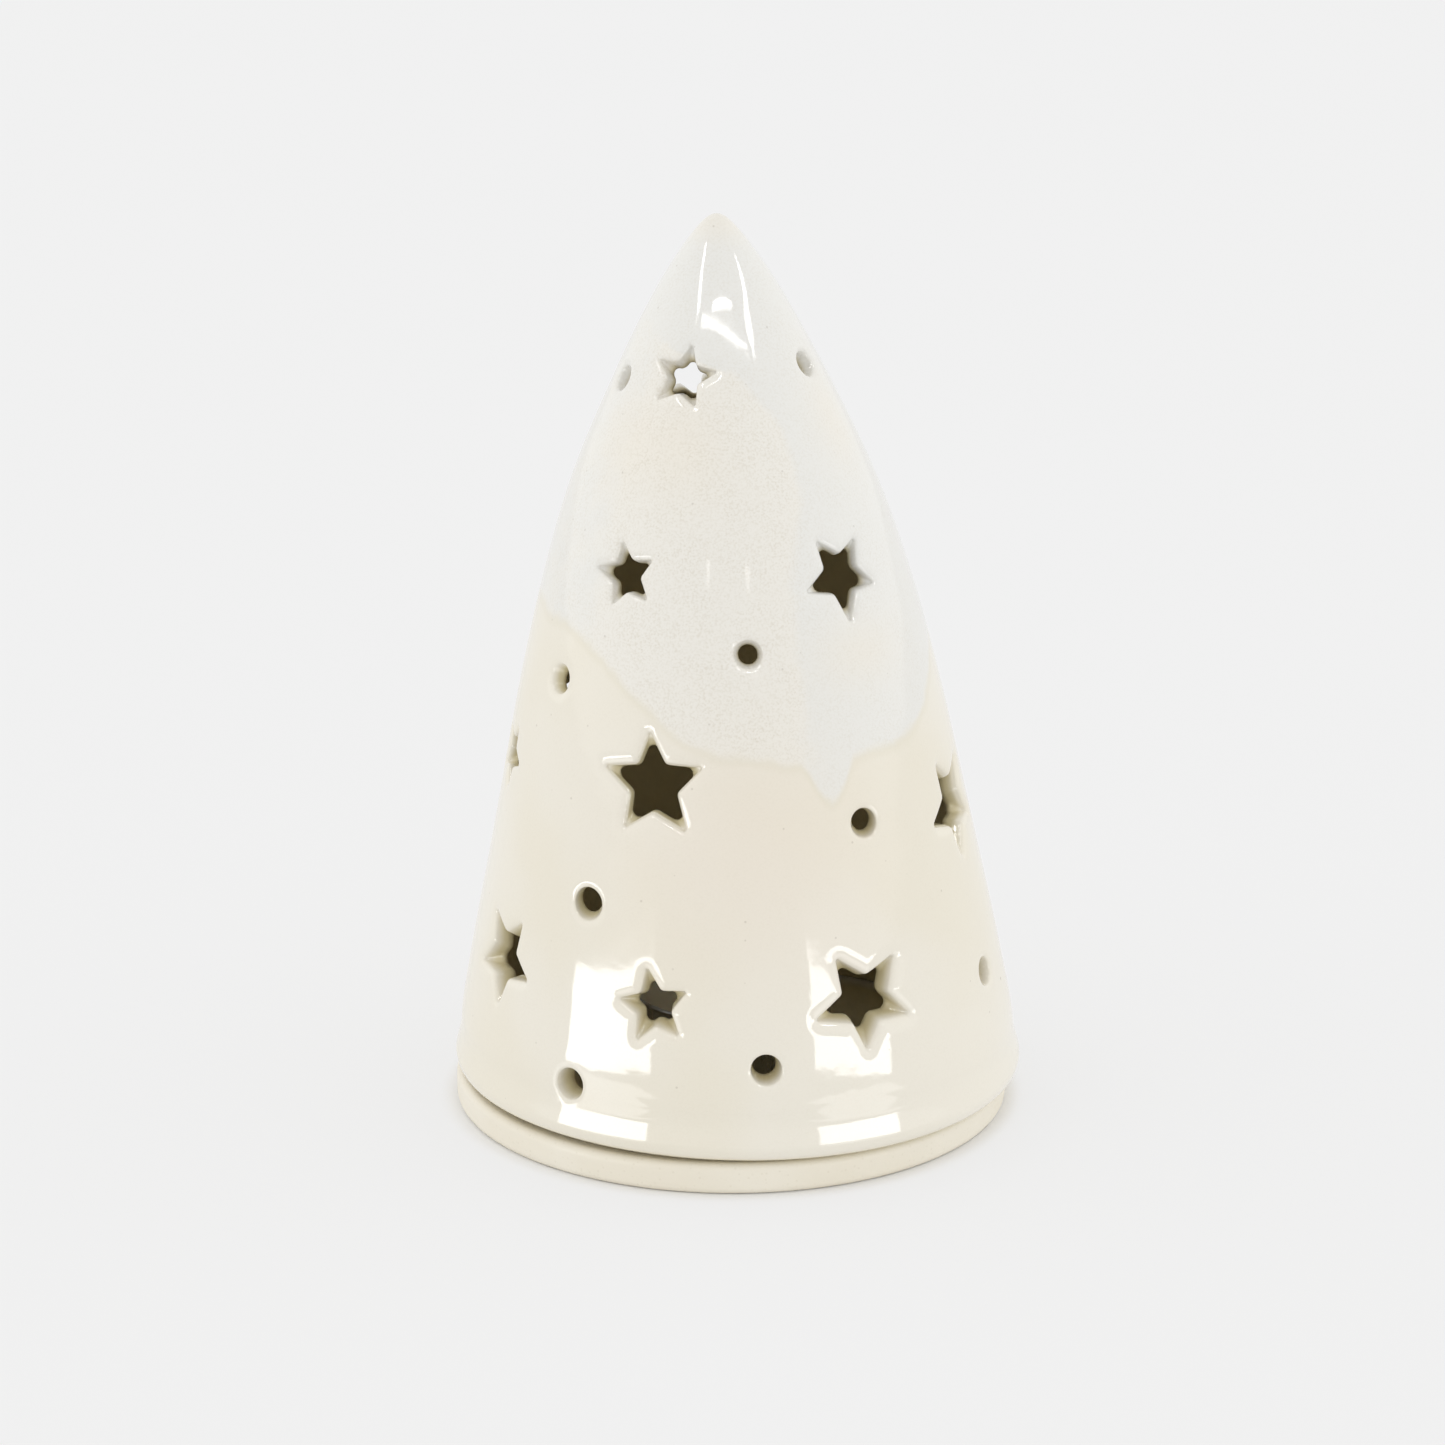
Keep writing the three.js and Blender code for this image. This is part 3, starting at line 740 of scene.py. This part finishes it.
class Paint:
    """A material's nodes. Positions in it are in mm, in the piece's own frame."""

    def __init__(self, name):
        self.material = bpy.data.materials.new(name)
        self.material.use_nodes = True
        self.tree = self.material.node_tree
        self.shader = self.tree.nodes["Principled BSDF"]
        place = self.add("TexCoord")["Object"]
        self.place = self.add("VectorMath", {0: place, 1: (1 / MM,) * 3}, operation="MULTIPLY")["Vector"]

    def add(self, kind, inputs=None, **settings):
        node = self.tree.nodes.new("ShaderNode" + kind)
        for key, value in settings.items():
            setattr(node, key, value)
        for key, value in (inputs or {}).items():
            self.plug(node.inputs[key], value)
        return node.outputs

    def plug(self, socket, value):
        if isinstance(value, bpy.types.NodeSocket):
            self.tree.links.new(value, socket)
        else:
            socket.default_value = value

    def set(self, **values):
        for key, value in values.items():
            self.plug(self.shader.inputs[key.replace("_", " ")], value)

    def noise(self, size, detail=3.0, stretch=(1, 1, 1)):
        """Noise from 0 to 1 with features about size mm across."""
        shares = tuple(s / size for s in stretch)
        place = self.add("VectorMath", {0: self.place, 1: shares}, operation="MULTIPLY")["Vector"]
        return self.add("TexNoise", {"Vector": place, "Scale": 1.0, "Detail": detail})["Fac"]

    def cells(self, size):
        """Distance from the nearest of many points about size mm apart, and a random number for each."""
        made = self.add("TexVoronoi", {"Vector": self.place, "Scale": 1 / size})
        return made["Distance"], self.add("SeparateColor", {"Color": made["Color"]})["Red"]

    def field(self, name):
        return self.add("Attribute", attribute_name=name)["Fac"]

    def math(self, operation, a, b=0.0):
        return self.add("Math", {0: a, 1: b}, operation=operation)["Value"]

    def ramp(self, value, low, high, to_low=0.0, to_high=1.0):
        inputs = {"Value": value, "From Min": low, "From Max": high, "To Min": to_low, "To Max": to_high}
        return self.add("MapRange", inputs, interpolation_type="SMOOTHSTEP")["Result"]

    def mix(self, factor, a, b):
        node = self.tree.nodes.new("ShaderNodeMix")
        node.data_type = "RGBA"
        for index, value in ((0, factor), (6, a), (7, b)):
            self.plug(node.inputs[index], value)
        return node.outputs[2]

    def bump(self, height, distance, normal=None):
        """A bump of so many mm."""
        inputs = {"Height": height, "Distance": distance * MM, "Strength": 1.0}
        if normal is not None:
            inputs["Normal"] = normal
        return self.add("Bump", inputs)["Normal"]


def colour(red, green, blue):
    """A screen colour from 0 to 255 as linear light."""
    shares = [c / 255 for c in (red, green, blue)]
    return (*[s / 12.92 if s <= 0.04045 else ((s + 0.055) / 1.055) ** 2.4 for s in shares], 1.0)


IVORY, IVORY_WARM, IVORY_PALE = colour(235, 229, 213), colour(236, 227, 212), colour(237, 232, 219)
MILK_THIN, MILK_THICK, BUFF = colour(237, 234, 226), colour(233, 232, 227), colour(238, 230, 214)
FLECK, IRON, OLIVE_EDGE = colour(190, 178, 150), colour(120, 100, 70), colour(222, 216, 196)
# the tan of the cut walls is painted shade for inside the openings
CUT_WALL_SHADE, INSIDE = colour(208, 197, 160), colour(206, 193, 154)


def glaze_paint():
    p = Paint("glazed_stoneware")
    wobble = p.ramp(p.noise(7, 4), 0.3, 0.7, -0.6, 0.6)
    above = p.math("ADD", p.field("above_dip"), wobble)
    dipped = p.ramp(above, -1.1, 1.4)
    edge = p.math("MULTIPLY", p.ramp(above, -2.4, -0.3), p.math("SUBTRACT", 1.0, p.ramp(above, -0.3, 0.7)))
    lower = p.mix(p.ramp(p.noise(38, 2), 0.38, 0.62), IVORY, IVORY_PALE)
    lower = p.mix(p.math("MULTIPLY", p.field("warm"), 0.7), lower, IVORY_WARM)
    lower = p.mix(p.math("MULTIPLY", edge, 0.3), lower, OLIVE_EDGE)
    thick = p.math("ADD", p.field("thick"), p.ramp(p.noise(6, 5), 0.3, 0.7, -0.16, 0.16))
    upper = p.mix(p.ramp(thick, 0.1, 0.9), MILK_THIN, MILK_THICK)
    upper = p.mix(p.math("MULTIPLY", p.field("warm"), 0.4), upper, BUFF)
    # fine flecks show through the second glaze, and hardly at all below it
    fleck = p.ramp(p.noise(0.42, 3), 0.4, 0.75)
    fleck = p.math("MULTIPLY", fleck, p.ramp(p.noise(5, 5), 0.3, 0.7, 0.5, 1.0))
    thin = p.math("SUBTRACT", 1.0, p.math("MULTIPLY", p.field("thick"), 0.6))
    shows = p.math("MULTIPLY", p.math("MULTIPLY", dipped, thin), 0.24)
    fleck_amount = p.math("MULTIPLY", fleck, p.math("ADD", shows, 0.06))
    skin = p.mix(dipped, lower, upper)
    skin = p.mix(fleck_amount, skin, FLECK)
    # a few iron specks
    for apart, size, amount in ((13, 0.035, 0.55), (3.2, 0.07, 0.22)):
        far, pick = p.cells(apart)
        speck = p.math("MULTIPLY", p.ramp(far, size * 1.3, size * 0.6), p.ramp(pick, 0.72, 0.74))
        skin = p.mix(p.math("MULTIPLY", speck, amount), skin, IRON)
    depth = p.field("depth")
    run_in = p.math("SUBTRACT", depth, p.math("MULTIPLY", dipped, 0.22))  # the second glaze ran in further
    # painted shade: the cut walls turn a darker tan deeper into each opening, standing in for the shade there
    cut_shade = p.ramp(run_in, 0.15, 0.6)
    skin = p.mix(cut_shade, skin, CUT_WALL_SHADE)
    # the inner wall is darker and browner than the glaze all over
    skin = p.mix(p.ramp(depth, 0.7, 0.95), skin, INSIDE)
    dull = {"Value": depth, "From Min": 0.7, "From Max": 0.95, "To Min": 0.06, "To Max": 0.75}
    p.set(Base_Color=skin, IOR=1.5, Roughness=p.add("MapRange", dull)["Result"])
    waves = p.bump(p.noise(5, 2), 0.015, p.bump(p.noise(12, 2), 0.07))
    up = p.add("SeparateXYZ", {0: p.place})["Z"]
    # wiped by hand where the clay was joined
    smoothed = p.math("MULTIPLY", p.ramp(up, 13, 18), p.ramp(up, 29, 23))
    waves = p.bump(p.math("MULTIPLY", p.noise(4.5, 2), smoothed), 0.035, waves)
    cut = p.math("MULTIPLY", p.ramp(depth, 0.03, 0.2), p.noise(1.3, 2))
    p.set(Normal=p.bump(cut, 0.05, p.bump(p.noise(1.6, 3), 0.006, waves)))
    return p.material


def clay_paint():
    p = Paint("bare_stoneware")
    skin = p.mix(p.ramp(p.noise(26, 3), 0.35, 0.65), colour(235, 228, 211), colour(238, 232, 217))
    level = p.add("VectorMath", {0: p.place, 1: (1, 1, 0)}, operation="MULTIPLY")["Vector"]
    out = p.add("VectorMath", {0: level}, operation="LENGTH")["Value"]
    skin = p.mix(p.ramp(out, 48.5, 45), skin, colour(218, 207, 172))  # darker and browner inside the cover's foot
    distance, chance = p.cells(0.8)
    grog = p.math("MULTIPLY", p.ramp(distance, 0.4, 0.1), p.ramp(chance, 0.5, 0.95))
    skin = p.mix(p.math("MULTIPLY", grog, 0.16), skin, FLECK)
    p.set(Base_Color=skin, Roughness=p.ramp(p.noise(5, 4), 0.3, 0.7, 0.42, 0.58), IOR=1.45)
    grain = p.bump(p.noise(0.7, 4), 0.03)
    p.set(Normal=p.bump(p.noise(7, 3, (1, 1, 2.5)), 0.12, grain))
    return p.material


def aluminium_paint():
    p = Paint("aluminium_cup")
    skin = p.mix(p.noise(4, 4), colour(180, 181, 183), colour(203, 203, 204))
    brushed = p.noise(2.5, 5, (1, 1, 0.15))
    p.set(Base_Color=skin, Metallic=1.0, Roughness=p.ramp(brushed, 0.3, 0.7, 0.22, 0.36))
    p.set(Normal=p.bump(p.noise(1.2, 3, (1, 1, 0.08)), 0.012))
    return p.material


def wax_paint():
    p = Paint("candle_wax")
    skin = p.mix(p.noise(5, 4), colour(230, 221, 198), colour(240, 233, 214))
    p.set(Base_Color=skin, Roughness=p.ramp(p.noise(3, 3), 0.3, 0.7, 0.3, 0.5), IOR=1.44)
    p.set(Subsurface_Weight=0.6, Subsurface_Radius=(1.0, 0.75, 0.5), Subsurface_Scale=0.0025)
    p.set(Normal=p.bump(p.noise(1.8, 4), 0.03))
    return p.material


def steel_paint():
    p = Paint("tinned_steel")
    skin = p.mix(p.noise(3, 4), colour(170, 171, 172), colour(200, 200, 200))
    p.set(Base_Color=skin, Metallic=1.0, Roughness=p.ramp(p.noise(1.5, 4), 0.3, 0.7, 0.25, 0.45))
    p.set(Normal=p.bump(p.noise(0.8, 3), 0.01))
    return p.material


def cotton_paint():
    p = Paint("cotton")
    skin = p.mix(p.noise(0.35, 4), colour(222, 214, 196), colour(244, 240, 230))
    p.set(Base_Color=skin, Roughness=0.85, Sheen_Weight=0.25)
    p.set(Normal=p.bump(p.noise(0.16, 3, (1, 1, 0.3)), 0.03))
    return p.material


# ---------------------------------------------------------------- the pieces on their bodies

PIECES = [
    (build_saucer, clay_paint, "base", "saucer", "bare_stoneware"),
    (build_cover, glaze_paint, "cover", "cover", "glazed_stoneware"),
    (build_cup, aluminium_paint, "tealight", "candle_cup", "aluminium_cup"),
    (build_wax, wax_paint, "tealight", "candle_wax", "candle_wax"),
    (build_sustainer, steel_paint, "tealight", "wick_sustainer", "tinned_steel"),
    (build_wick, cotton_paint, "tealight", "wick", "cotton"),
]
for build, paint, body, node, slot in PIECES:
    piece = build()
    piece.data.materials.append(paint())
    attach(piece, body)
    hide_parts(node)

# ---------------------------------------------------------------- floor, light and camera

scene = bpy.context.scene
scene.view_settings.view_transform = "Standard"
FLOOR_REACH = 8.0


def build_floor():
    p = Paint("floor")
    # beyond the saucer the floor glows a little, which keeps it pale and leaves the shadow at the foot
    out = p.add("VectorMath", {0: p.place}, operation="LENGTH")["Value"]
    far = p.ramp(out, SAUCER_RADIUS, SAUCER_RADIUS + 3.5)
    lit = p.mix(p.noise(300, 2), (0.25, 0.25, 0.25, 1), (0.256, 0.256, 0.256, 1))
    p.set(Base_Color=p.mix(far, (0.87, 0.87, 0.87, 1), lit), Roughness=0.9, Specular_IOR_Level=0.0)
    p.set(Emission_Color=(1.0, 1.0, 1.0, 1), Emission_Strength=p.math("MULTIPLY", far, 0.62))
    size = FLOOR_REACH
    data = bpy.data.meshes.new("floor")
    corners = [(-size, -size, 0), (size, -size, 0), (size, size, 0), (-size, size, 0)]
    data.from_pydata(corners, [], [(0, 1, 2, 3)])
    data.materials.append(p.material)
    link("floor", data)


def build_backdrop():
    """A pale wall far behind on all sides, as bright as the floor, which gives the object no light."""
    p = Paint("backdrop")
    p.set(Base_Color=(0, 0, 0, 1), Specular_IOR_Level=0.0, Roughness=1.0)
    p.set(Emission_Color=(1.0, 1.0, 1.0, 1), Emission_Strength=0.868)
    far, tall, sides = FLOOR_REACH - 0.2, 6.0, 64
    turn = [2 * math.pi * k / sides for k in range(sides)]
    points = [(far * math.cos(a), far * math.sin(a), z) for z in (-0.01, tall) for a in turn]
    faces = [(k, (k + 1) % sides, sides + (k + 1) % sides, sides + k) for k in range(sides)]
    data = bpy.data.meshes.new("backdrop")
    data.from_pydata(points, [], faces)
    data.materials.append(p.material)
    wall = link("backdrop", data)
    wall.visible_diffuse = wall.visible_glossy = wall.visible_transmission = wall.visible_shadow = False


def surround(level, sides):
    """White all round, and brighter towards the sides by a share."""
    world = bpy.data.worlds.new("surround")
    scene.world = world
    world.use_nodes = True
    tree = world.node_tree
    place = tree.nodes.new("ShaderNodeTexCoord").outputs["Generated"]
    split = tree.nodes.new("ShaderNodeSeparateXYZ")
    square, scaled = tree.nodes.new("ShaderNodeMath"), tree.nodes.new("ShaderNodeMath")
    square.operation, scaled.operation = "MULTIPLY", "MULTIPLY_ADD"
    scaled.inputs[1].default_value, scaled.inputs[2].default_value = level * sides, level
    tree.links.new(place, split.inputs[0])
    tree.links.new(split.outputs["X"], square.inputs[0])
    tree.links.new(split.outputs["X"], square.inputs[1])
    tree.links.new(square.outputs[0], scaled.inputs[0])
    tree.links.new(scaled.outputs[0], tree.nodes["Background"].inputs["Strength"])
    tree.nodes["Background"].inputs["Color"].default_value = (1.0, 1.0, 1.0, 1)


def panel(name, middle, facing, width, height, level):
    """A rectangular light at a place in metres, facing a point. It shows only in reflections."""
    data = bpy.data.lights.new(name, "AREA")
    data.shape, data.size, data.size_y = "RECTANGLE", width, height
    data.energy = level * math.pi * width * height
    light = link(name, data)
    light.location = middle
    light.rotation_euler = (Vector(facing) - Vector(middle)).to_track_quat("-Z", "Y").to_euler()
    light.visible_camera = light.visible_diffuse = False
    return light


def towards(azimuth, elevation, distance, start):
    """A point that far away from the start, in a direction from the front towards +X and up."""
    a, e = math.radians(azimuth), math.radians(elevation)
    direction = Vector((math.sin(a) * math.cos(e), -math.cos(a) * math.cos(e), math.sin(e)))
    return Vector(start) + distance * direction


def set_square(light, along, away):
    """Turns a light to lie along one direction and to face against the other."""
    light.rotation_euler = Matrix((along, away.cross(along), away)).transposed().to_euler()


def between(name, points, start, level):
    """A panel between four points: upper left and right, then lower right and left, as seen from the start."""
    a, b, c, d = points
    across, up = (b + c - a - d) / 2, (a + b - c - d) / 2
    light = panel(name, (a + b + c + d) / 4, start, across.length, up.length, level)
    set_square(light, across.normalized(), across.cross(up).normalized())
    return light


def quad(name, start, corners, distance, level):
    """A panel seen from the start between four directions."""
    return between(name, [towards(*corner, distance, start) for corner in corners], start, level)


def glow(name, start, low, high, near, far, level):
    """The softbox's light on the floor: a panel lying between two azimuths and two distances from the start."""
    spots = [(low, far), (high, far), (high, near), (low, near)]
    foot = (start[0], start[1], 0.001)
    return between(name, [towards(azimuth, 0, reach, foot) for azimuth, reach in spots], start, level)


STRIP_AWAY = 0.7


def strip(name, start, ends, width, level):
    """A thin light along a line of directions seen from the start."""
    for number, pair in enumerate(zip(ends, ends[1:])):
        a, b = (towards(*end, STRIP_AWAY, start) for end in pair)
        light = panel(f"{name}_{number}", (a + b) / 2, start, (b - a).length, width, level)
        set_square(light, (b - a).normalized(), (light.location - Vector(start)).normalized())


build_floor()
build_backdrop()
surround(0.905, 0.5)
# each light is placed by the directions in which a spot on the cover reflects it
LOW_LEFT, LOW_RIGHT = (-0.022, -0.045, 0.031), (0.021, -0.045, 0.031)
SOFTBOX_AWAY = 0.25
quad("softbox_left", LOW_LEFT, [(-74, 0.2), (-34, 4.1), (-34, -2.9), (-74, -9.4)], SOFTBOX_AWAY, 8)
quad("softbox_right", LOW_RIGHT, [(31.5, 6.35), (67, 1.75), (66.5, -5.9), (29, -0.8)], SOFTBOX_AWAY, 7)
for number, (near, far) in enumerate([(0.05, 0.1), (0.1, 0.2)]):
    glow(f"glow_left_{number}", LOW_LEFT, -73, -34, near, far, 2.2)
    glow(f"glow_right_{number}", LOW_RIGHT, 29.5, 67, near, far, 1.6)
TIP = (-0.002, -0.012, 0.155)
strip("strip_left", TIP, [(-65.5, 56.8), (-45, 50.2), (-37.3, 43.1)], 0.05, 14)
strip("strip_right", TIP, [(76.3, 45.8), (60.3, 40.4), (51.4, 38.1)], 0.05, 14)
strip("strip_front", TIP, [(-29.9, 43.6), (-6.9, 44.6), (14.6, 43.6), (31.4, 41.4), (45.9, 38.5)], 0.012, 14)
lamp = quad("lamp", TIP, [(-10, 48.2), (33, 47), (32, 44.9), (-9, 45.2)], STRIP_AWAY, 20)
lamp.data.shape = "ELLIPSE"
MIDDLE = (0, -0.03, 0.11)
strip("catch_left", MIDDLE, [(-10.3, 20.7), (-10.2, 18.3)], 0.025, 3)
strip("catch_right", MIDDLE, [(17.3, 20.4), (16, 18.3)], 0.025, 3)

camera = link("camera", bpy.data.cameras.new("camera"))
camera.data.sensor_width, camera.data.lens = 36.0, 110.1
camera.data.clip_start, camera.data.clip_end = 0.05, 50
camera.location = (0, -0.7884, 0.3177)
pitch, yaw = math.radians(17.24), math.radians(-0.12)
camera.rotation_euler = (math.pi / 2 - pitch, 0, -yaw)
scene.camera = camera
